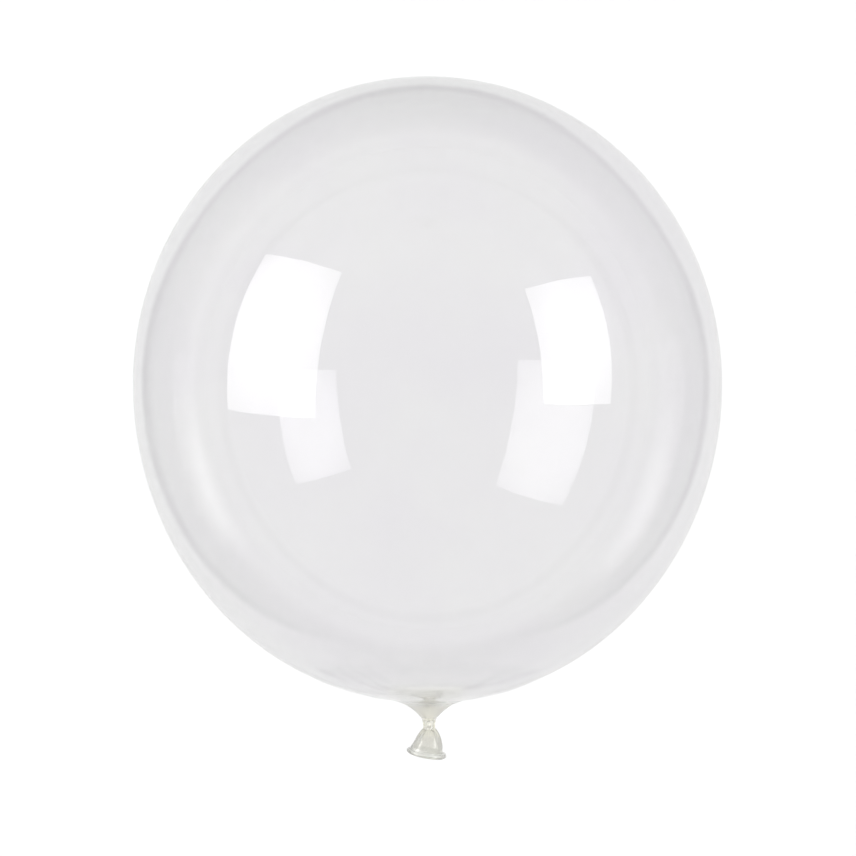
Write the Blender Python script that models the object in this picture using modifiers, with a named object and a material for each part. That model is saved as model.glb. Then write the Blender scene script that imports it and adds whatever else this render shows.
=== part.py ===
# Clear balloon lying on its side, in metres, +Z up.
# Its long axis runs along Y: the crown points to +Y and the neck and tail to -Y.
# The origin is the centre of the small flat spot it rests on.

import math

import bmesh
import bpy
from mathutils import Matrix, Vector

# Driving dimensions of the inflated body
BODY_RADIUS = 0.2285
CROWN_LENGTH = 0.2385
NECK_END_LENGTH = 0.2470
FLAT_SPOT_RADIUS = 0.0270
WIDEST_Y = 0.0035

# Driving dimensions of the drawn-in neck
FUNNEL_START_RADIUS = 0.0550
PINCH_RADIUS = 0.0049
PINCH_START = 0.2665
PINCH_END = 0.2685
FUNNEL_PULL_OUT = 0.0260
FUNNEL_PULL_IN = 0.0135

# Driving dimensions of the pleated tail, measured along its own line from the pinch
TAIL_LENGTH = 0.0200
TAIL_ROOT = 0.0110
ROOT_RADIUS = 0.0042
SKIRT_RADIUS = 0.0118
SKIRT_BELL = 2.3
SKIRT_WALL = 0.0010
MOUTH_DEPTH = 0.0035
LIP_RADIUS = 0.0139
LIP_BEAD = 0.0017
PLEATS = 11
PLEAT_DEPTH = 0.12
TAIL_LEAN = math.radians(10.0)
TAIL_DROOP = math.radians(5.0)

# Fineness of the faceted solid
BODY_STEPS = 72
CROWN_ARCS = 17
NECK_END_ARCS = 14
FUNNEL_ARCS = 11
TAIL_SIDES = 55
SKIRT_ARCS = 9
BEAD_ARCS = 8

AXIS_HEIGHT = math.sqrt(BODY_RADIUS ** 2 - FLAT_SPOT_RADIUS ** 2)


def clear_scene():
    for item in list(bpy.data.objects):
        bpy.data.objects.remove(item, do_unlink=True)
    for item in list(bpy.data.collections):
        bpy.data.collections.remove(item)


def new_collection(name, hidden=False):
    made = bpy.data.collections.new(name)
    bpy.context.scene.collection.children.link(made)
    made.hide_render = hidden
    return made


def clear_film():
    made = bpy.data.materials.new("clear_film")
    made.use_nodes = True
    shader = made.node_tree.nodes["Principled BSDF"]
    shader.inputs["Base Color"].default_value = (0.96, 0.96, 0.95, 1.0)
    shader.inputs["Roughness"].default_value = 0.05
    shader.inputs["IOR"].default_value = 1.5
    shader.inputs["Transmission Weight"].default_value = 1.0
    return made


def bezier(first, second, third, fourth, t):
    s = 1.0 - t
    return first * s ** 3 + second * 3 * s * s * t + third * 3 * s * t * t + fourth * t ** 3


def body_profile():
    """Radius and distance along the axis, from the crown to the closed end of the pinch."""
    points = [(0.0, -CROWN_LENGTH)]
    for k in range(1, CROWN_ARCS + 1):
        angle = 0.5 * math.pi * (1.0 - k / CROWN_ARCS)
        points.append((BODY_RADIUS * math.cos(angle), -CROWN_LENGTH * math.sin(angle)))
    last_angle = math.acos(FUNNEL_START_RADIUS / BODY_RADIUS)
    for k in range(1, NECK_END_ARCS + 1):
        angle = last_angle * k / NECK_END_ARCS
        points.append((BODY_RADIUS * math.cos(angle), NECK_END_LENGTH * math.sin(angle)))
    start = Vector(points[-1])
    slope = Vector((-BODY_RADIUS * math.sin(last_angle), NECK_END_LENGTH * math.cos(last_angle)))
    slope.normalize()
    end = Vector((PINCH_RADIUS, PINCH_START))
    leaves_body = start + slope * FUNNEL_PULL_OUT
    meets_pinch = end - Vector((0.0, FUNNEL_PULL_IN))
    for k in range(1, FUNNEL_ARCS + 1):
        spot = bezier(start, leaves_body, meets_pinch, end, k / FUNNEL_ARCS)
        points.append((spot.x, spot.y))
    points.append((PINCH_RADIUS, PINCH_END))
    points.append((0.0, PINCH_END))
    return points


def new_mesh_object(name, collection, material=None):
    mesh = bpy.data.meshes.new(name)
    made = bpy.data.objects.new(name, mesh)
    collection.objects.link(made)
    if material:
        mesh.materials.append(material)
    return made


def mark_as_helper(item):
    item.hide_render = True
    item.display_type = "WIRE"


def make_body(collection, material):
    """The body and its neck, turned about the long axis."""
    body = new_mesh_object("balloon", collection, material)
    points = body_profile()
    # The profile lies at +X and runs down Z, from the crown at the top to the pinch at the bottom.
    places = [(radius, 0.0, -along) for radius, along in points]
    edges = [(k, k + 1) for k in range(len(points) - 1)]
    body.data.from_pydata(places, edges, [])
    # The crown is then laid over to +Y, and the long axis is lifted to its height.
    body.location = (0.0, WIDEST_Y, AXIS_HEIGHT)
    body.rotation_euler = (-0.5 * math.pi, 0.0, 0.0)
    screw = body.modifiers.new("turned", "SCREW")
    screw.axis = "Z"
    screw.angle = 2.0 * math.pi
    screw.steps = BODY_STEPS
    screw.render_steps = BODY_STEPS
    screw.use_merge_vertices = True
    screw.merge_threshold = 0.00005
    screw.use_smooth_shade = True
    return body


def tail_profile():
    """Radius, distance along the tail's line and depth of the pleats, from the root to the mouth's floor."""
    rings = [(ROOT_RADIUS, -TAIL_ROOT, 0.0)]
    rings.append((ROOT_RADIUS, -0.3 * TAIL_ROOT, 0.0))
    rings.append((PINCH_RADIUS, 0.0, PLEAT_DEPTH))
    for k in range(1, SKIRT_ARCS + 1):
        t = k / SKIRT_ARCS
        radius = PINCH_RADIUS + (SKIRT_RADIUS - PINCH_RADIUS) * (1.0 - (1.0 - t) ** SKIRT_BELL)
        rings.append((radius, TAIL_LENGTH * t, PLEAT_DEPTH * (1.0 - t) ** 0.7))
    # The bead starts where the skirt meets it, and goes round by its outer side to its inner side.
    bead_centre = TAIL_LENGTH + 0.6 * LIP_BEAD
    for k in range(BEAD_ARCS + 1):
        angle = math.radians(150.0 - 330.0 * k / BEAD_ARCS)
        rings.append((LIP_RADIUS + LIP_BEAD * math.cos(angle), bead_centre - LIP_BEAD * math.sin(angle), 0.0))
    mouth = LIP_RADIUS - LIP_BEAD - SKIRT_WALL
    rings.append((mouth, bead_centre + LIP_BEAD - MOUTH_DEPTH, 0.0))
    return rings


def tail_turn(share):
    return Matrix.Rotation(-TAIL_LEAN * share, 3, "Z") @ Matrix.Rotation(TAIL_DROOP * share, 3, "X")


def tail_frame(along):
    """Place and direction at a distance along the tail's line, which bends evenly up to the lip."""
    if along <= 0.0:
        return Vector((0.0, -along, 0.0)), tail_turn(0.0)
    share = along / TAIL_LENGTH
    steps = 12
    place = Vector((0.0, 0.0, 0.0))
    for k in range(steps):
        place += tail_turn(share * (k + 0.5) / steps) @ Vector((0.0, -along / steps, 0.0))
    return place, tail_turn(share)


def make_tail(collection):
    """The pleated skirt with its rolled lip and open cup, lofted from ring to ring."""
    tail = new_mesh_object("tail_shape", collection)
    mesh = bmesh.new()
    start = Vector((0.0, WIDEST_Y - 0.5 * (PINCH_START + PINCH_END), AXIS_HEIGHT))
    rings = []
    for radius, along, depth in tail_profile():
        place, turn = tail_frame(along)
        ring = []
        for k in range(TAIL_SIDES):
            angle = 2.0 * math.pi * k / TAIL_SIDES
            reach = radius * (1.0 + depth * math.cos(PLEATS * angle))
            spot = turn @ Vector((reach * math.cos(angle), 0.0, reach * math.sin(angle)))
            ring.append(mesh.verts.new(start + place + spot))
        rings.append(ring)
    for upper, lower in zip(rings, rings[1:]):
        for k in range(TAIL_SIDES):
            after = (k + 1) % TAIL_SIDES
            mesh.faces.new((upper[k], upper[after], lower[after], lower[k]))
    mesh.faces.new(rings[0])
    mesh.faces.new(rings[-1])
    for face in mesh.faces:
        face.smooth = True
    bmesh.ops.recalc_face_normals(mesh, faces=mesh.faces)
    mesh.to_mesh(tail.data)
    mesh.free()
    mark_as_helper(tail)
    return tail


def make_floor_cutter(collection):
    """A block whose top is the plane the balloon rests on."""
    cutter = new_mesh_object("floor_cutter", collection)
    mesh = bmesh.new()
    bmesh.ops.create_cube(mesh, size=0.2, matrix=Matrix.Translation((0.0, 0.0, -0.1)))
    mesh.to_mesh(cutter.data)
    mesh.free()
    mark_as_helper(cutter)
    return cutter


def add_boolean(target, name, operation, other):
    step = target.modifiers.new(name, "BOOLEAN")
    step.operation = operation
    step.solver = "EXACT"
    step.object = other


def main():
    clear_scene()
    parts = new_collection("clear_balloon")
    helpers = new_collection("helpers", hidden=True)
    body = make_body(parts, clear_film())
    add_boolean(body, "tail", "UNION", make_tail(helpers))
    add_boolean(body, "flat_spot", "DIFFERENCE", make_floor_cutter(helpers))


main()
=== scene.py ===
import math

import bpy
from mathutils import Matrix, Vector, noise


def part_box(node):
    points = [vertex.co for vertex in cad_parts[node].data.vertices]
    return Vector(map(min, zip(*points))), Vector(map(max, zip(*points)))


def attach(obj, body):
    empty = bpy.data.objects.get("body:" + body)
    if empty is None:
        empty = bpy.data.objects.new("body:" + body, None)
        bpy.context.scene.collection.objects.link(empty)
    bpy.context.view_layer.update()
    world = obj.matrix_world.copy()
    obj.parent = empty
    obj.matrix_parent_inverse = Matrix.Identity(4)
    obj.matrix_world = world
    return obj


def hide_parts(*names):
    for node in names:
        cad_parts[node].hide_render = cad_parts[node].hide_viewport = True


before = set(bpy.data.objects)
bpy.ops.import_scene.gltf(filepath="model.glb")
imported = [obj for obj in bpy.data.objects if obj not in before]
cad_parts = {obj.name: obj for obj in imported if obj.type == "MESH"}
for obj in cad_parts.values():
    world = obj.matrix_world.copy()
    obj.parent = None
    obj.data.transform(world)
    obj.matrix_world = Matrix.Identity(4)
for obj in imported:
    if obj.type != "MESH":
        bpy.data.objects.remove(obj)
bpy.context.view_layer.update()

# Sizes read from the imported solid, in metres
node_low, node_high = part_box("balloon")
BODY_RADIUS = 0.5 * (node_high[0] - node_low[0])
AXIS_HEIGHT = node_high[2] - BODY_RADIUS
CROWN_Y = node_high[1]

# The inflated body, as in the solid
CROWN_LENGTH = 0.2385
NECK_END_LENGTH = 0.2470
WIDEST_Y = CROWN_Y - CROWN_LENGTH

# The drawn-in neck: it leaves the body, turns into a straight cone and ends in the pinch. It
# stands NECK_SHIFT to one side of the body's axis, and NECK_SHIFTS is where that starts and is full.
FUNNEL_START_RADIUS = 0.0550
CONE_TOP = (0.0190, 0.2496)
CONE_TOP_WAY = (-0.88, 0.47)
CONE_END = (0.0050, 0.2617)
CONE_END_WAY = (-0.64, 0.77)
PINCH_RADIUS = 0.0037
PINCH_START = 0.2662
PINCH_END = 0.2685
CAVITY_END = 0.2628
CAVITY_CLOSES = 0.0003
NECK_SHIFT = 0.0012
NECK_SHIFTS = (0.2250, 0.2550)

# The tail, measured along its own line from the end of the pinch
TAIL_LENGTH = 0.0186
SKIRT_RADIUS = 0.0118
SKIRT_BELL = 2.0
TAIL_LEAN = math.radians(9.0)
TAIL_DROOP = math.radians(2.5)

# The rolled lip is a bead. Its section runs from the skirt round the outside, in degrees.
LIP_RADIUS = 0.0137
LIP_BEAD = 0.0017
BEAD_STARTS = 150.0
BEAD_ENDS = -170.0
BEAD_BELOW_SKIRT = 0.6 * LIP_BEAD

# The open cup in the tail. Its top is closed by rings: their share of its narrowest radius, and
# how far they lie above its edge.
CUP_TOP = 0.0018
CUP_CLOSING_RINGS = ((0.72, 0.0010), (0.36, 0.0017), (0.0, 0.0019))

# How the skirt's left side sweeps out to the lip
FLARE = 0.0024
FLARE_STARTS = 0.55
FLARE_CURVE = 1.6
FLARED_LIP = 0.0008
FLARED_BEAD_STARTS = 100.0
FLARED_SKIRT_CUT = 0.5 * LIP_BEAD

# Pleats gathered in at the pinch: how many and how uneven, where they start and are full, and
# how deep they are, as a share of the radius
PLEATS = 6.0
PLEAT_TURN = math.radians(60.0)
PLEAT_CROWDING = 0.35
PLEAT_UNEVENNESS = 0.15
PLEATS_START = (0.2602, 0.2642)
PINCH_PLEAT_DEPTH = 0.24
SKIRT_PLEAT_DEPTH = 0.08

# Unevenness of the blown film: how far it stands out, and how close its swells lie
RIPPLE_HEIGHT = 0.00012
RIPPLE_COUNT = 3.5
FINE_RIPPLE_HEIGHT = 0.00003
FINE_RIPPLE_COUNT = 9.0
FINE_RIPPLE_PLACE = Vector((5.0, 1.0, 3.0))
NECK_RIPPLE_HEIGHT = 0.00040
NECK_RIPPLE_COUNT = 13.0
NECK_RIPPLES = (0.2050, 0.2260, 0.2420, 0.2520)

# Wrinkles that run out from the neck into the body. They start, are full, and fade out again
# over the four places in WRINKLES, as the ripples near the neck do over those in NECK_RIPPLES.
WRINKLE_HEIGHT = 0.00010
WRINKLE_COUNT = 26
WRINKLE_CROWDING = 2.0
WRINKLE_UNEVENNESS = 0.4
WRINKLE_SLANT = 40.0
WRINKLES = (0.2200, 0.2380, 0.2500, 0.2600)

# How far the underside stays above the ground
REST_GAP = 0.0002

# Where the film turns cloudy: faintly near the neck, on the underside and in a small patch above,
# fully on the neck, not at all at the pinch, and partly on the tail. The tail is also glossy.
# MIST_BELOW is measured up from the axis and MIST_PATCH sideways from it, the others along it.
NECK_FILM_STARTS = 0.2340
MIST = 0.50
MIST_STARTS = (0.2200, 0.2290)
MIST_BELOW = (-0.030, 0.000)
MIST_PATCH = (0.018, 0.034)
CLOUD_STARTS = (0.2370, 0.2500)
CLOUD_ENDS = (0.2585, 0.2630)
TAIL_HAZE = 0.75
TAIL_HAZE_STARTS = (0.2680, 0.2730)
TAIL_GLOSS_STARTS = (0.2570, 0.2640)

# Roughness of the film, and how much of the tail's gloss the rest of the neck has
SMOOTH_FILM = 0.02
CLOUDY_OUTSIDE = 0.30
CLOUDY_INSIDE = 0.28
NECK_GLOSS = 0.02

# Colours of the film: clear and smoky areas on the body, and a paler patch of painted light above
# the neck, which lightens the tail's dark reflection there and starts and is full at two heights
# over the axis
CLEAR_COLOUR = (0.900, 0.893, 0.907)
SMOKY_COLOUR = (0.911, 0.909, 0.912)
PAINTED_LIGHT_COLOUR = (0.985, 0.982, 0.955)
PAINTED_LIGHT_ABOVE = (0.000, 0.040)
BLOTCH_SCALE = 9.0
BLOTCH_DETAIL = 3.0
BLOTCH_EDGE = (0.35, 0.65)

# Colours that take over along the axis, each with the places where it starts and is full. Those of
# the skirt and the lip are measured along a slanted line, because the tail leans. The neck, skirt
# and lip colours are the thicker, gathered rubber; the darker crown colour is painted shade,
# standing in for the darker band reflected at the top of the film.
THICKER_AND_SHADED_COLOURS = {
    # Painted shade: the crown is darkened in colour, not by thicker film
    "Crown Shade": ((0.871, 0.870, 0.874), -0.2050, -0.2385),
    "Gathered": ((0.930, 0.921, 0.868), 0.2360, 0.2520),
    "Skirt": ((0.893, 0.887, 0.856), 0.2720, 0.2780),
    "Lip": ((0.797, 0.800, 0.762), 0.2852, 0.2868),
}
LIP_SLANT = 0.15

# The film's fine relief, and the share of light that passes the film on its way to the table
RELIEF_SCALE = 120.0
RELIEF_DETAIL = 2.0
LIGHT_THROUGH = 0.985

# Thickness of the film
BODY_FILM = 0.00015
NECK_FILM = 0.0006
THICKENS = (0.2500, 0.2620)

# Fineness of the turned shapes and of the tail's bend, and how close points are merged
SIDES = 144
CROWN_ARCS = 40
NECK_END_ARCS = 56
FUNNEL_ARCS = 16
SKIRT_ARCS = 18
BEAD_ARCS = 14
CUP_ARCS = 10
TAIL_BENDS = 12
CLOSE_POINTS = 0.00001

# The table, in metres. Its lit middle is a rounded rectangle, ringed by a slightly darker border of
# painted shade. It fades out over LIT_FADE and dims towards the crown over EVENED. Far away the
# table glows again.
LIT_LOW = (-0.45, -1.60)
LIT_HIGH = (0.50, 0.47)
LIT_FADE = (-1.50, -0.38)
LIT_CORNER = 0.22
LIT_EDGE = 0.08
LIT_GLOW = 0.305
CROWN_GLOW = 0.280
EVENED = (0.05, 0.36)
BORDER_WIDTH = 0.05
SHADE_BORDER_COLOUR = 0.44
FAR_GLOW = 0.45
FAR_GLOW_STARTS = (0.8, 3.0)
TABLE_COLOUR = 0.515
TABLE_RADIUS = 12.0
TABLE_HEIGHT = -0.0004

# The two softboxes: where each stands, the ways of its two sides, and their lengths
LEFT_SOFTBOX = {
    "centre": (-1.975, 0.663, 1.460),
    "across": (0.627, -0.094, 0.773),
    "up": (0.130, 0.991, 0.015),
    "width": 1.63,
    "height": 2.07,
    "brightness": 2.80,
}
RIGHT_SOFTBOX = {
    "centre": (1.668, 0.455, 1.415),
    "across": (0.589, 0.041, -0.807),
    "up": (-0.191, 0.978, -0.089),
    "width": 1.065,
    "height": 1.372,
    "brightness": 2.85,
}

# The two low strips: the angle round the balloon in degrees, the size and how far off each stands
LEFT_STRIP = {"azimuth": 203.0, "length": 0.95, "height": 0.36, "away": 1.07}
RIGHT_STRIP = {"azimuth": -25.5, "length": 1.00, "height": 0.33, "away": 0.92}
STRIP_BRIGHTNESS = 0.60
STRIP_ABOVE_TABLE = 0.002

# How far from its middle a lamp starts to dim, where that ends, and the share of light left there
SOFTBOX_GRADIENT = (0.25, 0.75, 0.52)
STRIP_GRADIENT = (0.0, 0.5, 0.0)

# Brightness of the room at the horizon and overhead
ROOM_BRIGHTNESS = (1.08, 1.12)

# The camera, straight above, with the crown at the top of the picture
IMAGE_SIDE = 856
SENSOR = 36.0
LENS = 85.0
CAMERA_ABOVE_AXIS = 1.582
BODY_CENTRE_PIXEL = (427.5, 385.0)


def smooth_share(value, low, high):
    """From 0 at low to 1 at high, with soft ends."""
    t = min(max((value - low) / (high - low), 0.0), 1.0)
    return t * t * (3.0 - 2.0 * t)


def bezier(first, second, third, fourth, t):
    s = 1.0 - t
    return first * s ** 3 + second * 3 * s * s * t + third * 3 * s * t * t + fourth * t ** 3


def curve_between(start, start_way, end, end_way, count):
    """Points of a smooth curve that leaves one point and meets the next along the given ways."""
    start, end = Vector(start), Vector(end)
    reach = (end - start).length / 3.0
    first = start + Vector(start_way).normalized() * reach
    second = end - Vector(end_way).normalized() * reach
    return [bezier(start, first, second, end, k / count) for k in range(1, count + 1)]


def body_profile():
    """Radius and distance along the axis, from the crown to the start of the pinch."""
    points = [(0.0, -CROWN_LENGTH)]
    for k in range(1, CROWN_ARCS + 1):
        angle = 0.5 * math.pi * (1.0 - k / CROWN_ARCS)
        points.append((BODY_RADIUS * math.cos(angle), -CROWN_LENGTH * math.sin(angle)))
    last_angle = math.acos(FUNNEL_START_RADIUS / BODY_RADIUS)
    for k in range(1, NECK_END_ARCS + 1):
        angle = last_angle * k / NECK_END_ARCS
        points.append((BODY_RADIUS * math.cos(angle), NECK_END_LENGTH * math.sin(angle)))
    slope = (-BODY_RADIUS * math.sin(last_angle), NECK_END_LENGTH * math.cos(last_angle))
    pinch = (PINCH_RADIUS, PINCH_START)
    for spot in curve_between(points[-1], slope, CONE_TOP, CONE_TOP_WAY, FUNNEL_ARCS):
        points.append((spot.x, spot.y))
    for spot in curve_between(CONE_TOP, CONE_TOP_WAY, CONE_END, CONE_END_WAY, FUNNEL_ARCS):
        points.append((spot.x, spot.y))
    for spot in curve_between(CONE_END, CONE_END_WAY, pinch, (0.0, 1.0), FUNNEL_ARCS // 2):
        points.append((spot.x, spot.y))
    return points


def skirt_radius(t, flare):
    """The skirt's radius at a share of its length. Flare is 1 where it sweeps out to the lip."""
    bell = 1.0 - (1.0 - t) ** SKIRT_BELL
    sweep = max(0.0, (t - FLARE_STARTS) / (1.0 - FLARE_STARTS)) ** FLARE_CURVE
    return PINCH_RADIUS + (SKIRT_RADIUS - PINCH_RADIUS) * bell + FLARE * flare * sweep


def tail_profile(flare):
    """Radius and distance along the axis, down the skirt, round the lip and up inside the cup."""
    points = []
    skirt_length = TAIL_LENGTH - FLARED_SKIRT_CUT * flare
    for k in range(SKIRT_ARCS + 1):
        t = k / SKIRT_ARCS
        points.append((skirt_radius(t, flare), PINCH_END + skirt_length * t))
    bead_radius = LIP_RADIUS + FLARED_LIP * flare
    bead_centre = PINCH_END + TAIL_LENGTH + BEAD_BELOW_SKIRT
    starts = BEAD_STARTS + (FLARED_BEAD_STARTS - BEAD_STARTS) * flare
    for k in range(BEAD_ARCS + 1):
        angle = math.radians(starts + (BEAD_ENDS - starts) * k / BEAD_ARCS)
        radius = bead_radius + LIP_BEAD * math.cos(angle)
        points.append((radius, bead_centre - LIP_BEAD * math.sin(angle)))
    for k in range(1, CUP_ARCS + 1):
        t = 1.0 - k / CUP_ARCS * (1.0 - CUP_TOP / TAIL_LENGTH)
        points.append((skirt_radius(t, flare) - NECK_FILM, PINCH_END + TAIL_LENGTH * t))
    narrowest = points[-1][0]
    for share, rise in CUP_CLOSING_RINGS:
        points.append((narrowest * share, PINCH_END + CUP_TOP - rise))
    return points


def cavity_profile(outer):
    """The same body one film thickness further in, closed where the neck is gathered tight."""
    points = []
    for k, (radius, along) in enumerate(outer):
        if along > CAVITY_END:
            break
        before = Vector(outer[max(k - 1, 0)])
        after = Vector(outer[min(k + 1, len(outer) - 1)])
        way = (after - before).normalized()
        film = BODY_FILM + (NECK_FILM - BODY_FILM) * smooth_share(along, *THICKENS)
        inward = Vector((-way.y, way.x)) * film
        points.append((max(radius + inward.x, 0.0), along + inward.y))
    points[0] = (0.0, -CROWN_LENGTH + BODY_FILM)
    points.append((0.0, points[-1][1] + CAVITY_CLOSES))
    return points


def turned(name, points, inside_out):
    """A shape drawn point by point and spun about the balloon's long axis."""
    bpy.ops.object.select_all(action="DESELECT")
    start = Vector((points[0][0], WIDEST_Y - points[0][1], AXIS_HEIGHT))
    # A small plane, merged into the one point from which the profile is extruded
    bpy.ops.mesh.primitive_plane_add(size=0.01, location=start)
    made = bpy.context.object
    made.name = name
    made.data.name = name
    bpy.ops.object.mode_set(mode="EDIT")
    bpy.ops.mesh.select_all(action="SELECT")
    bpy.ops.mesh.merge(type="CENTER")
    for (radius, along), (next_radius, next_along) in zip(points, points[1:]):
        step = (next_radius - radius, along - next_along, 0.0)
        bpy.ops.mesh.extrude_region_move(TRANSFORM_OT_translate={"value": step})
    bpy.ops.mesh.select_all(action="SELECT")
    centre = (0.0, WIDEST_Y, AXIS_HEIGHT)
    bpy.ops.mesh.spin(steps=SIDES, angle=2.0 * math.pi, center=centre, axis=(0.0, 1.0, 0.0))
    bpy.ops.mesh.select_all(action="SELECT")
    bpy.ops.mesh.remove_doubles(threshold=CLOSE_POINTS)
    bpy.ops.mesh.normals_make_consistent(inside=inside_out)
    bpy.ops.object.mode_set(mode="OBJECT")
    bpy.ops.object.transform_apply(location=True, rotation=True, scale=True)
    return made


def pleat(angle):
    """Uneven gathers round the pinch and the tail, from -1 in a valley to 1 on a ridge."""
    swing = PLEATS * (angle - PLEAT_TURN) + PLEAT_CROWDING * math.sin(2.0 * angle + 0.4)
    strength = 1.0 - PLEAT_UNEVENNESS + PLEAT_UNEVENNESS * math.cos(3.0 * angle + 1.0)
    return math.cos(swing) * strength


def pleat_depth(along):
    """Share of the radius, strongest at the pinch and gone in the body and at the lip."""
    up_tail = 1.0 - min(max((along - PINCH_END) / TAIL_LENGTH, 0.0), 1.0)
    depth = PINCH_PLEAT_DEPTH * up_tail ** 3 + SKIRT_PLEAT_DEPTH * up_tail
    return smooth_share(along, *PLEATS_START) * depth


def sweep_out(piece, straight, flared):
    """Moves the tail's left side from the straight skirt to the one that sweeps out to the lip."""
    for vertex in piece.data.vertices:
        along = WIDEST_Y - vertex.co.y
        if along > PINCH_END:
            up = vertex.co.z - AXIS_HEIGHT
            radius = math.hypot(vertex.co.x, up)
            angle = math.atan2(up, vertex.co.x)
            share = smooth_share(-math.cos(angle), 0.0, 1.0)
            gaps = [abs(radius - spot[0]) + abs(along - spot[1]) for spot in straight]
            ring = gaps.index(min(gaps))
            new_radius = radius + share * (flared[ring][0] - straight[ring][0])
            vertex.co.x = new_radius * math.cos(angle)
            vertex.co.z = AXIS_HEIGHT + new_radius * math.sin(angle)
            vertex.co.y -= share * (flared[ring][1] - straight[ring][1])


def tail_turn(share):
    return Matrix.Rotation(-TAIL_LEAN * share, 3, "Z") @ Matrix.Rotation(TAIL_DROOP * share, 3, "X")


def bend_tail(spot):
    """Moves a point of the straight tail to where the leaning, drooping tail has it."""
    along = WIDEST_Y - PINCH_END - spot.y
    if along <= 0.0:
        return spot
    share = along / TAIL_LENGTH
    place = Vector((0.0, WIDEST_Y - PINCH_END, AXIS_HEIGHT))
    for k in range(TAIL_BENDS):
        place += tail_turn(share * (k + 0.5) / TAIL_BENDS) @ Vector((0.0, -along / TAIL_BENDS, 0.0))
    return place + tail_turn(share) @ Vector((spot.x, 0.0, spot.z - AXIS_HEIGHT))


def gather_and_bend(piece):
    """Draws the pinch into pleats, leans the tail and shifts the neck to its side."""
    for vertex in piece.data.vertices:
        spot = vertex.co.copy()
        along = WIDEST_Y - spot.y
        angle = math.atan2(spot.z - AXIS_HEIGHT, spot.x)
        if along > PLEATS_START[0]:
            share = 1.0 + pleat_depth(along) * pleat(angle)
            spot.x *= share
            spot.z = AXIS_HEIGHT + (spot.z - AXIS_HEIGHT) * share
            spot = bend_tail(spot)
        spot.x += NECK_SHIFT * smooth_share(along, *NECK_SHIFTS)
        vertex.co = spot


def ripple(piece):
    """The faint unevenness of blown film, the same for both faces of its wall."""
    middle = Vector((0.0, WIDEST_Y, AXIS_HEIGHT))
    for vertex in piece.data.vertices:
        out = vertex.co - middle
        along = WIDEST_Y - vertex.co.y
        near_neck = smooth_share(along, *NECK_RIPPLES[:2])
        neck_ends = smooth_share(along, *NECK_RIPPLES[2:])
        way = out.normalized()
        height = RIPPLE_HEIGHT * noise.noise(way * RIPPLE_COUNT)
        height += FINE_RIPPLE_HEIGHT * noise.noise(way * FINE_RIPPLE_COUNT + FINE_RIPPLE_PLACE)
        height *= 1.0 - near_neck
        height += NECK_RIPPLE_HEIGHT * noise.noise(way * NECK_RIPPLE_COUNT) * (near_neck - neck_ends)
        vertex.co += way * height


def wrinkle(piece):
    """Fine, uneven wrinkles that run out from the neck into the body."""
    for vertex in piece.data.vertices:
        along = WIDEST_Y - vertex.co.y
        if WRINKLES[0] < along < WRINKLES[3]:
            angle = math.atan2(vertex.co.z - AXIS_HEIGHT, vertex.co.x)
            strength = smooth_share(along, *WRINKLES[:2]) - smooth_share(along, *WRINKLES[2:])
            strength *= 1.0 - WRINKLE_UNEVENNESS + WRINKLE_UNEVENNESS * math.sin(5.0 * angle + 1.7)
            swing = WRINKLE_COUNT * angle + WRINKLE_CROWDING * math.sin(3.0 * angle + 0.5)
            swing += WRINKLE_SLANT * (along - WRINKLES[0])
            vertex.co.y += WRINKLE_HEIGHT * strength * math.cos(swing)


def flatten_underside(piece, lift):
    """Presses the film flat where it rests."""
    for vertex in piece.data.vertices:
        vertex.co.z = max(vertex.co.z, lift)


# Materials


def new_material(name):
    made = bpy.data.materials.new(name)
    made.use_nodes = True
    made.node_tree.nodes.clear()
    return made, made.node_tree.nodes, made.node_tree.links


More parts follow.
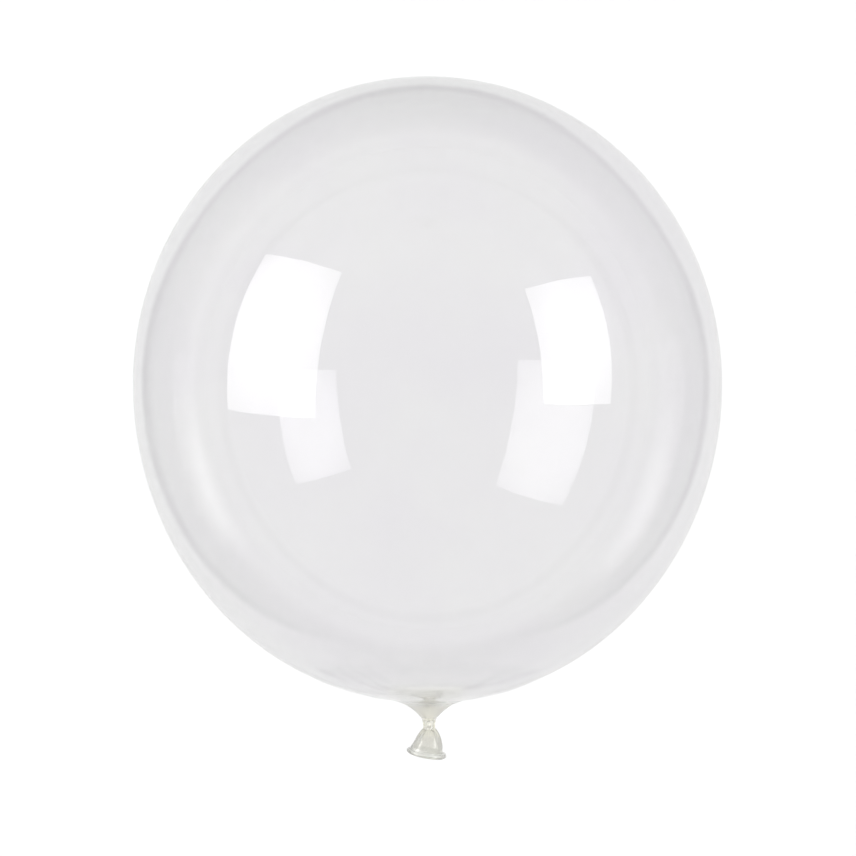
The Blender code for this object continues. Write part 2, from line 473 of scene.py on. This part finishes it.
def film_pattern():
    """The film's colours, clouds, gloss and fine relief, shared by its three materials.

    Cloudy is 1 on the neck, less near it and on the tail, and 0 elsewhere. Glossy is 1 on the
    pinch and the tail.
    """
    group = bpy.data.node_groups.new("film_pattern", "ShaderNodeTree")
    for socket in ("Clear", "Smoky", "Painted Light", *THICKER_AND_SHADED_COLOURS):
        group.interface.new_socket(name=socket, in_out="INPUT", socket_type="NodeSocketColor")
    group.interface.new_socket(name="Colour", in_out="OUTPUT", socket_type="NodeSocketColor")
    for socket in ("Cloudy", "Glossy", "Relief"):
        group.interface.new_socket(name=socket, in_out="OUTPUT", socket_type="NodeSocketFloat")
    nodes, links = group.nodes, group.links
    given = nodes.new("NodeGroupInput")
    result = nodes.new("NodeGroupOutput")
    # Places on the film: along the axis from its widest ring, over the axis, and sideways from it
    place = nodes.new("ShaderNodeTexCoord").outputs["Object"]
    split = nodes.new("ShaderNodeSeparateXYZ")
    links.new(place, split.inputs["Vector"])
    along = math_node(nodes, links, "SUBTRACT", WIDEST_Y, split.outputs["Y"])
    slant = math_node(nodes, links, "MULTIPLY", LIP_SLANT, split.outputs["X"])
    down_tail = math_node(nodes, links, "SUBTRACT", along, slant)
    height = math_node(nodes, links, "ADD", split.outputs["Z"], -AXIS_HEIGHT)
    sideways = math_node(nodes, links, "ABSOLUTE", split.outputs["X"], 0.0)
    # The cloudy neck, the misty film near it, and the hazy tail
    cloud_starts = soft_step(nodes, links, along, *CLOUD_STARTS, 0.0, 1.0)
    cloud_ends = soft_step(nodes, links, along, *CLOUD_ENDS, 1.0, 0.0)
    cloudy = math_node(nodes, links, "MULTIPLY", cloud_starts, cloud_ends)
    mist_starts = soft_step(nodes, links, along, *MIST_STARTS, 0.0, 1.0)
    below = soft_step(nodes, links, height, *MIST_BELOW, 1.0, 0.0)
    patch = soft_step(nodes, links, sideways, *MIST_PATCH, 1.0, 0.0)
    mist = math_node(nodes, links, "MAXIMUM", below, patch)
    mist = math_node(nodes, links, "MULTIPLY", mist, mist_starts)
    mist = math_node(nodes, links, "MULTIPLY", mist, MIST)
    mist = math_node(nodes, links, "MULTIPLY", mist, cloud_ends)
    cloudy = math_node(nodes, links, "MAXIMUM", cloudy, mist)
    tail_haze = soft_step(nodes, links, along, *TAIL_HAZE_STARTS, 0.0, TAIL_HAZE)
    cloudy = math_node(nodes, links, "MAXIMUM", cloudy, tail_haze)
    # The colours: clear and smoky areas, the paler patch of painted light above the neck, and those
    # that take over along the axis, among them the crown's painted shade
    blotches = noise_node(nodes, links, place, BLOTCH_SCALE, BLOTCH_DETAIL)
    blotch = soft_step(nodes, links, blotches, *BLOTCH_EDGE, 0.0, 1.0)
    colour = colour_mix(nodes, links, blotch, given.outputs["Clear"], given.outputs["Smoky"])
    above = soft_step(nodes, links, height, *PAINTED_LIGHT_ABOVE, 0.0, 1.0)
    # Painted light: a paler patch above the neck lightens the tail's dark reflection there
    painted_light = math_node(nodes, links, "MULTIPLY", mist_starts, patch)
    painted_light = math_node(nodes, links, "MULTIPLY", painted_light, above)
    colour = colour_mix(nodes, links, painted_light, colour, given.outputs["Painted Light"])
    # Of these, the crown's colour is painted shade for the darker band reflected at the top; the
    # others are thicker rubber
    for socket, (_, starts, full) in THICKER_AND_SHADED_COLOURS.items():
        measured = down_tail if socket in ("Skirt", "Lip") else along
        share = soft_step(nodes, links, measured, starts, full, 0.0, 1.0)
        colour = colour_mix(nodes, links, share, colour, given.outputs[socket])
    links.new(colour, result.inputs["Colour"])
    links.new(cloudy, result.inputs["Cloudy"])
    glossy = soft_step(nodes, links, along, *TAIL_GLOSS_STARTS, 0.0, 1.0)
    links.new(glossy, result.inputs["Glossy"])
    relief = noise_node(nodes, links, place, RELIEF_SCALE, RELIEF_DETAIL)
    links.new(relief, result.inputs["Relief"])
    return group


def film_material(name, pattern, look):
    """Clear film. look holds its plain values, and what it takes from the shared pattern."""
    made, nodes, links = new_material(name)
    out = nodes.new("ShaderNodeOutputMaterial")
    shader = nodes.new("ShaderNodeBsdfPrincipled")
    shader.inputs["IOR"].default_value = 1.5
    shader.inputs["Metallic"].default_value = 0.0
    shader.inputs["Transmission Weight"].default_value = 1.0
    shader.inputs["Coat Weight"].default_value = 1.0
    shader.inputs["Coat Roughness"].default_value = 0.0
    shader.inputs["Coat IOR"].default_value = look["coat_ior"]
    shader.inputs["Coat Tint"].default_value = (*look["edge_tint"], 1.0)
    film = nodes.new("ShaderNodeGroup")
    film.node_tree = pattern
    film.inputs["Clear"].default_value = (*CLEAR_COLOUR, 1.0)
    film.inputs["Smoky"].default_value = (*SMOKY_COLOUR, 1.0)
    film.inputs["Painted Light"].default_value = (*PAINTED_LIGHT_COLOUR, 1.0)
    for socket, (colour, _, _) in THICKER_AND_SHADED_COLOURS.items():
        film.inputs[socket].default_value = (*colour, 1.0)
    links.new(film.outputs["Colour"], shader.inputs["Base Color"])
    for socket, mask, start, end in look["driven"]:
        value = soft_step(nodes, links, film.outputs[mask], 0.0, 1.0, start, end)
        links.new(value, shader.inputs[socket])
    relief = nodes.new("ShaderNodeBump")
    relief.inputs["Strength"].default_value = 1.0
    relief.inputs["Distance"].default_value = look["relief"]
    links.new(film.outputs["Relief"], relief.inputs["Height"])
    links.new(relief.outputs["Normal"], shader.inputs["Normal"])
    let_light_through(nodes, links, shader, out)
    return made


def let_light_through(nodes, links, shader, out):
    """Lamps and daylight reach the table through the film, which bends no light that matters."""
    path = nodes.new("ShaderNodeLightPath")
    clear = nodes.new("ShaderNodeBsdfTransparent")
    clear.inputs["Color"].default_value = (LIGHT_THROUGH, LIGHT_THROUGH, LIGHT_THROUGH, 1.0)
    seen = shader.outputs["BSDF"]
    for kind in ("Is Shadow Ray", "Is Diffuse Ray"):
        mix = nodes.new("ShaderNodeMixShader")
        links.new(path.outputs[kind], mix.inputs["Fac"])
        links.new(seen, mix.inputs[1])
        links.new(clear.outputs["BSDF"], mix.inputs[2])
        seen = mix.outputs["Shader"]
    links.new(seen, out.inputs["Surface"])


def noise_node(nodes, links, place, scale, detail):
    made = nodes.new("ShaderNodeTexNoise")
    made.inputs["Scale"].default_value = scale
    made.inputs["Detail"].default_value = detail
    links.new(place, made.inputs["Vector"])
    return made.outputs["Fac"]


def colour_mix(nodes, links, share, first, second):
    made = nodes.new("ShaderNodeMix")
    made.data_type = "RGBA"
    links.new(share, made.inputs["Factor"])
    links.new(first, made.inputs["A"])
    links.new(second, made.inputs["B"])
    return made.outputs["Result"]


def math_node(nodes, links, operation, first, second):
    made = nodes.new("ShaderNodeMath")
    made.operation = operation
    for socket, value in zip(made.inputs, (first, second)):
        if isinstance(value, float):
            socket.default_value = value
        else:
            links.new(value, socket)
    return made.outputs[0]


def vector_node(nodes, links, operation, first, second=None):
    made = nodes.new("ShaderNodeVectorMath")
    made.operation = operation
    links.new(first, made.inputs[0])
    if second is not None:
        made.inputs[1].default_value = second
    return made.outputs[0]


def soft_step(nodes, links, value, start, end, before, after):
    """A soft change from before to after, while value goes from start to end."""
    made = nodes.new("ShaderNodeMapRange")
    made.interpolation_type = "SMOOTHSTEP"
    made.inputs["From Min"].default_value = start
    made.inputs["From Max"].default_value = end
    made.inputs["To Min"].default_value = before
    made.inputs["To Max"].default_value = after
    links.new(value, made.inputs["Value"])
    return made.outputs["Result"]


def table_material():
    """A pale table whose middle is lit from below, under the soft light of the room."""
    made, nodes, links = new_material("pale_table")
    out = nodes.new("ShaderNodeOutputMaterial")
    shader = nodes.new("ShaderNodeBsdfPrincipled")
    shader.inputs["Roughness"].default_value = 0.9
    shader.inputs["Specular IOR Level"].default_value = 0.0
    place = nodes.new("ShaderNodeTexCoord")
    middle = [0.5 * (low + high) for low, high in zip(LIT_LOW, LIT_HIGH)]
    straight = [0.5 * (high - low) - LIT_CORNER for low, high in zip(LIT_LOW, LIT_HIGH)]
    # How far a place lies outside the straight-sided core of the lit rectangle
    spot = place.outputs["Object"]
    for operation, values in (
        ("SUBTRACT", (*middle, 0.0)),
        ("ABSOLUTE", None),
        ("SUBTRACT", (*straight, 1.0)),
        ("MAXIMUM", (0.0, 0.0, 0.0)),
    ):
        spot = vector_node(nodes, links, operation, spot, values)
    corner_reach = nodes.new("ShaderNodeVectorMath")
    corner_reach.operation = "LENGTH"
    links.new(spot, corner_reach.inputs[0])
    edge_start, edge_end = LIT_CORNER - 0.5 * LIT_EDGE, LIT_CORNER + 0.5 * LIT_EDGE
    inside = soft_step(nodes, links, corner_reach.outputs["Value"], edge_start, edge_end, 1.0, 0.0)
    reach = nodes.new("ShaderNodeVectorMath")
    reach.operation = "LENGTH"
    links.new(place.outputs["Object"], reach.inputs[0])
    far = soft_step(nodes, links, reach.outputs["Value"], *FAR_GLOW_STARTS, 0.0, FAR_GLOW)
    split = nodes.new("ShaderNodeSeparateXYZ")
    links.new(place.outputs["Object"], split.inputs["Vector"])
    fade = soft_step(nodes, links, split.outputs["Y"], *LIT_FADE, 0.0, 1.0)
    inside = math_node(nodes, links, "MULTIPLY", inside, fade)
    evened = soft_step(nodes, links, split.outputs["Y"], *EVENED, LIT_GLOW, CROWN_GLOW)
    lit = math_node(nodes, links, "MULTIPLY", inside, evened)
    glow = math_node(nodes, links, "ADD", lit, far)
    # Painted shade: a darker border just outside the lit middle, where its light falls off
    border_fades = edge_end + 0.5 * BORDER_WIDTH, edge_end + 1.5 * BORDER_WIDTH
    outside = soft_step(nodes, links, corner_reach.outputs["Value"], edge_start, edge_end, 0.0, 1.0)
    near = soft_step(nodes, links, corner_reach.outputs["Value"], *border_fades, 1.0, 0.0)
    shade_border = math_node(nodes, links, "MULTIPLY", outside, near)
    shade_border = math_node(nodes, links, "MULTIPLY", shade_border, fade)
    colour = nodes.new("ShaderNodeMix")
    colour.data_type = "RGBA"
    colour.inputs["A"].default_value = (TABLE_COLOUR, TABLE_COLOUR, TABLE_COLOUR, 1.0)
    colour.inputs["B"].default_value = (SHADE_BORDER_COLOUR, SHADE_BORDER_COLOUR, SHADE_BORDER_COLOUR, 1.0)
    links.new(shade_border, colour.inputs["Factor"])
    links.new(colour.outputs["Result"], shader.inputs["Base Color"])
    shader.inputs["Emission Color"].default_value = (1.0, 1.0, 1.0, 1.0)
    links.new(glow, shader.inputs["Emission Strength"])
    links.new(shader.outputs["BSDF"], out.inputs["Surface"])
    return made


# The balloon

outer_points = body_profile()
straight_tail = tail_profile(0.0)
skin = turned("balloon_skin", outer_points + straight_tail, inside_out=False)
cavity = turned("balloon_cavity", cavity_profile(outer_points), inside_out=True)
sweep_out(skin, straight_tail, tail_profile(1.0))
for shell in (skin, cavity):
    ripple(shell)
    wrinkle(shell)
    gather_and_bend(shell)
flatten_underside(skin, REST_GAP)
flatten_underside(cavity, REST_GAP + BODY_FILM)

pattern = film_pattern()
clear_film = film_material("clear_film", pattern, {
    "coat_ior": 1.01,
    "edge_tint": (0.988, 0.988, 0.988),
    "driven": (("Roughness", "Cloudy", SMOOTH_FILM, CLOUDY_OUTSIDE),),
    "relief": 0.000003,
})
neck_film = film_material("neck_film", pattern, {
    "coat_ior": 1.5,
    "edge_tint": (0.920, 0.920, 0.908),
    "driven": (
        ("Roughness", "Cloudy", SMOOTH_FILM, CLOUDY_OUTSIDE),
        ("Coat Weight", "Glossy", NECK_GLOSS, 1.0),
    ),
    "relief": 0.00001,
})
inner_film = film_material("inner_film", pattern, {
    "coat_ior": 1.0,
    "edge_tint": (0.99, 0.99, 0.99),
    "driven": (("Roughness", "Cloudy", SMOOTH_FILM, CLOUDY_INSIDE),),
    "relief": 0.00001,
})

# The places of the neck's and the inner film among each piece's materials
NECK = 1
INNER = 2
for piece in (skin, cavity):
    for material in (clear_film, neck_film, inner_film):
        piece.data.materials.append(material)
    for face in piece.data.polygons:
        face.use_smooth = True
        along = WIDEST_Y - face.center.y
        if along > NECK_FILM_STARTS:
            outwards = Vector((face.center.x - NECK_SHIFT, 0.0, face.center.z - AXIS_HEIGHT))
            faces_in = face.normal.dot(outwards) < 0.0
            inside = piece is cavity or (along > PINCH_END and faces_in)
            face.material_index = INNER if inside else NECK

bpy.ops.object.select_all(action="DESELECT")
cavity.select_set(True)
skin.select_set(True)
bpy.context.view_layer.objects.active = skin
bpy.ops.object.join()
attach(skin, "root")
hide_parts("balloon")

# The floor, the studio's soft light and the camera

bpy.ops.object.select_all(action="DESELECT")
bpy.ops.mesh.primitive_circle_add(
    vertices=64, radius=TABLE_RADIUS, fill_type="NGON", location=(0.0, 0.0, TABLE_HEIGHT)
)
table = bpy.context.object
table.name = "pale_table"
bpy.ops.object.transform_apply(location=True, rotation=True, scale=True)
table.data.materials.append(table_material())


def softbox(name, centre, across, up, width, height, brightness, gradient):
    """A rectangular soft light that is brightest in its middle and shines against its own Z."""
    lamp = bpy.data.lights.new(name, "AREA")
    lamp.shape = "RECTANGLE"
    lamp.size = width
    lamp.size_y = height
    lamp.energy = math.pi * width * height * brightness
    lamp.use_nodes = True
    nodes, links = lamp.node_tree.nodes, lamp.node_tree.links
    # Parametric runs from 0 to 1 across and up the lamp's face
    place = nodes.new("ShaderNodeNewGeometry")
    from_middle = nodes.new("ShaderNodeVectorMath")
    from_middle.operation = "SUBTRACT"
    from_middle.inputs[1].default_value = (0.5, 0.5, 0.0)
    links.new(place.outputs["Parametric"], from_middle.inputs[0])
    flat = nodes.new("ShaderNodeVectorMath")
    flat.operation = "MULTIPLY"
    flat.inputs[1].default_value = (1.0, 1.0, 0.0)
    links.new(from_middle.outputs[0], flat.inputs[0])
    reach = nodes.new("ShaderNodeVectorMath")
    reach.operation = "LENGTH"
    links.new(flat.outputs[0], reach.inputs[0])
    dims, ends, left = gradient
    strength = soft_step(nodes, links, reach.outputs["Value"], dims, ends, 1.0, left)
    links.new(strength, nodes["Emission"].inputs["Strength"])
    made = bpy.data.objects.new(name, lamp)
    bpy.context.scene.collection.objects.link(made)
    x_axis = Vector(across).normalized()
    y_axis = Vector(up)
    y_axis = (y_axis - x_axis * y_axis.dot(x_axis)).normalized()
    z_axis = x_axis.cross(y_axis)
    turn = Matrix((x_axis, y_axis, z_axis)).transposed().to_4x4()
    made.matrix_world = Matrix.Translation(centre) @ turn


def low_strip(name, azimuth, length, height, away):
    """A low, narrow light that stands on the table and faces the balloon."""
    turn = math.radians(azimuth)
    outwards = Vector((math.cos(turn), math.sin(turn), 0.0))
    across = Vector((-outwards.y, outwards.x, 0.0))
    centre = outwards * away + Vector((0.0, WIDEST_Y, 0.5 * height + STRIP_ABOVE_TABLE))
    softbox(name, centre, across, (0.0, 0.0, 1.0), length, height, STRIP_BRIGHTNESS, STRIP_GRADIENT)


softbox("left_softbox", gradient=SOFTBOX_GRADIENT, **LEFT_SOFTBOX)
softbox("right_softbox", gradient=SOFTBOX_GRADIENT, **RIGHT_SOFTBOX)
low_strip("left_strip", **LEFT_STRIP)
low_strip("right_strip", **RIGHT_STRIP)

world = bpy.data.worlds.new("bright_studio")
bpy.context.scene.world = world
world.use_nodes = True
nodes, links = world.node_tree.nodes, world.node_tree.links
way = nodes.new("ShaderNodeTexCoord")
split = nodes.new("ShaderNodeSeparateXYZ")
links.new(way.outputs["Generated"], split.inputs["Vector"])
brightness = soft_step(nodes, links, split.outputs["Z"], 0.0, 1.0, *ROOM_BRIGHTNESS)
links.new(brightness, nodes["Background"].inputs["Strength"])
nodes["Background"].inputs["Color"].default_value = (1.0, 1.0, 1.0, 1.0)

metres_per_pixel = SENSOR / LENS * CAMERA_ABOVE_AXIS / IMAGE_SIDE
camera_data = bpy.data.cameras.new("camera")
camera_data.lens = LENS
camera_data.sensor_width = SENSOR
camera = bpy.data.objects.new("camera", camera_data)
bpy.context.scene.collection.objects.link(camera)
camera.location = (
    (0.5 * IMAGE_SIDE - BODY_CENTRE_PIXEL[0]) * metres_per_pixel,
    WIDEST_Y - (0.5 * IMAGE_SIDE - BODY_CENTRE_PIXEL[1]) * metres_per_pixel,
    AXIS_HEIGHT + CAMERA_ABOVE_AXIS,
)
bpy.context.scene.camera = camera

scene = bpy.context.scene
scene.view_settings.view_transform = "Standard"
scene.cycles.max_bounces = 32
scene.cycles.transmission_bounces = 24
scene.cycles.glossy_bounces = 8
scene.cycles.caustics_refractive = False
scene.cycles.caustics_reflective = False
